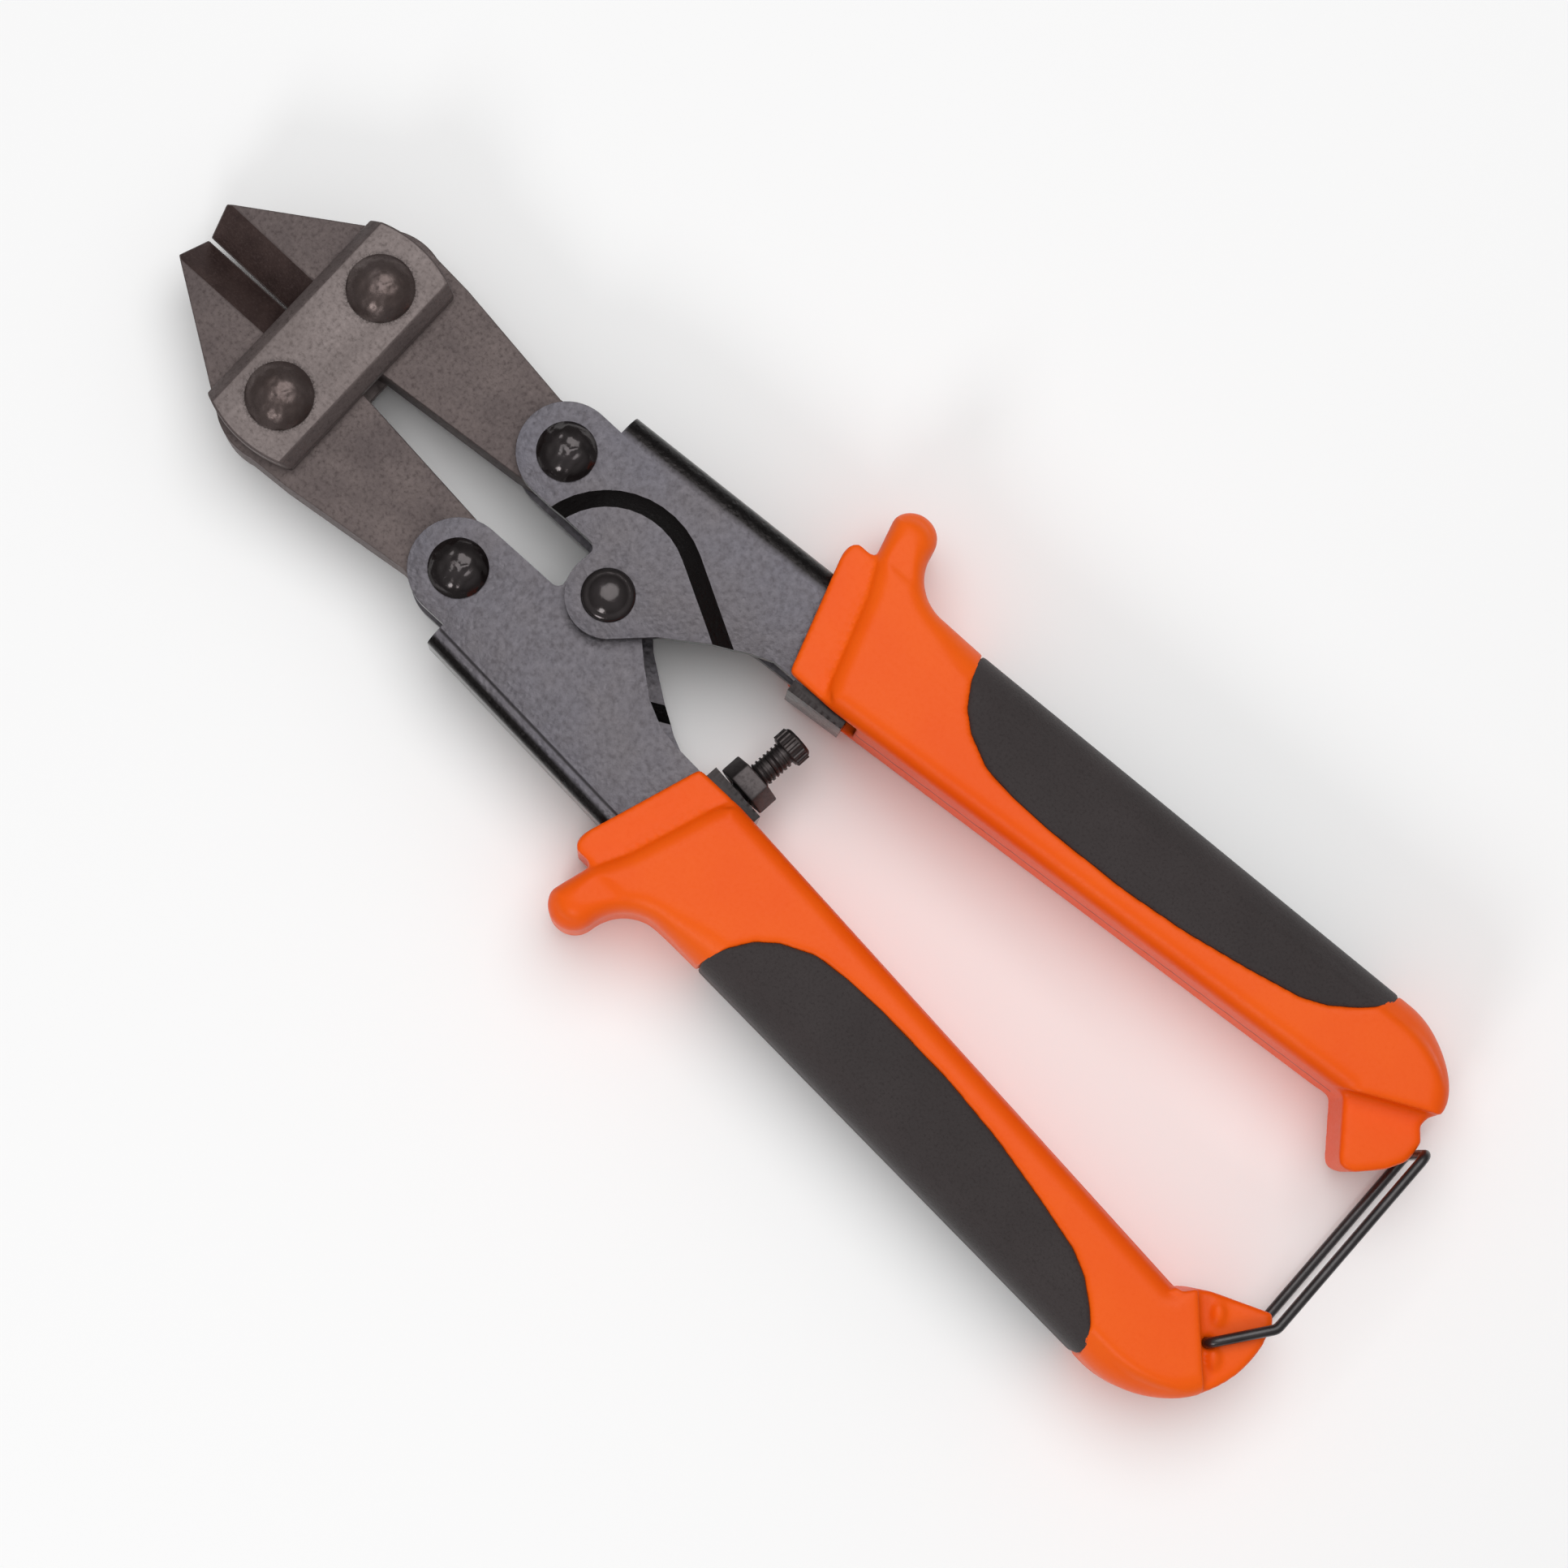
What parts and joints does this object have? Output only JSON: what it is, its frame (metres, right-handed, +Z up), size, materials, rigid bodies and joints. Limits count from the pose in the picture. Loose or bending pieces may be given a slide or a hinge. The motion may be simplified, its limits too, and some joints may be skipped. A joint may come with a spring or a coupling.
{
  "type": "bolt cutters",
  "caption": "Small compound bolt cutters with riveted jaw straps, stamped channel arms, moulded grips with soft pads and a wire bail that latches the handles shut.",
  "frame": {"origin": "centre of the box around the closed tool, on the surface it lies on", "axes": "+X from the jaws towards the handle ends, +Y towards the hook handle, +Z up out of the front face"},
  "size_m": [0.21, 0.0752, 0.02],
  "materials": {
    "jaw_steel": "matte phosphate grey-brown",
    "arm_steel": "satin black oxide",
    "rivet_black": "gloss black",
    "grip_orange": "satin",
    "pad_black": "matte",
    "screw_black": "black oxide",
    "nut_steel": "satin",
    "wire_black": "satin black"
  },
  "bodies": {
    "jaw_straps": {"front_strap": "jaw_steel", "rear_strap": "jaw_steel", "upper_jaw_rivet": "jaw_steel", "lower_jaw_rivet": "jaw_steel"},
    "upper_jaw": {"upper_jaw": "jaw_steel"},
    "lower_jaw": {"lower_jaw": "jaw_steel"},
    "upper_handle": {"upper_arm": "arm_steel", "upper_grip": "grip_orange", "upper_grip_pad": "pad_black", "upper_link_rivet": "rivet_black", "centre_rivet": "rivet_black", "centre_spacer": "jaw_steel"},
    "lower_handle": {"lower_arm": "arm_steel", "lower_grip": "grip_orange", "lower_grip_pad": "pad_black", "lower_link_rivet": "rivet_black"},
    "stop_screw": {"stop_screw": "screw_black"},
    "stop_nut": {"stop_nut": "nut_steel"},
    "wire_bail": {"wire_bail": "wire_black"}
  },
  "joints": [
    {"name": "upper_handle_hinge", "type": "hinge", "parent": "upper_jaw", "child": "upper_handle", "pos_m": [-0.04707, 0.0109, 0.01], "axis": [0, 0, 1], "range_deg": [-1.69, 16.12]},
    {"name": "upper_jaw_hinge", "type": "hinge", "parent": "jaw_straps", "child": "upper_jaw", "pos_m": [-0.08088, 0.0101, 0.01], "axis": [0, 0, 1], "range_deg": [-6, 1]},
    {"name": "lower_jaw_hinge", "type": "hinge", "parent": "jaw_straps", "child": "lower_jaw", "pos_m": [-0.08088, -0.0101, 0.01], "axis": [0, 0, 1], "range_deg": [-1, 6]},
    {"name": "lower_handle_hinge", "type": "hinge", "parent": "lower_jaw", "child": "lower_handle", "pos_m": [-0.04707, -0.0109, 0.01], "axis": [0, 0, 1], "range_deg": [-16.17, 1.74]},
    {"name": "stop_screw_feed", "type": "slide", "parent": "lower_handle", "child": "stop_screw", "axis": [0.1011, 0.9949, 0], "range_m": [-0.0002, 0.0025]},
    {"name": "stop_nut_feed", "type": "slide", "parent": "stop_screw", "child": "stop_nut", "axis": [0.1011, 0.9949, 0], "range_m": [-0.0003, 0.004]},
    {"name": "bail_swing", "type": "hinge", "parent": "lower_handle", "child": "wire_bail", "pos_m": [0.09863, -0.0199, 0.01], "axis": [0, 0, -1], "range_deg": [0, 80]}
  ],
  "couplings": [
    {"joint": "upper_jaw_hinge", "follows": "upper_handle_hinge", "ratio": -0.35484},
    {"joint": "lower_jaw_hinge", "follows": "upper_handle_hinge", "ratio": 0.35484},
    {"joint": "lower_handle_hinge", "follows": "upper_handle_hinge", "ratio": -1}
  ]
}
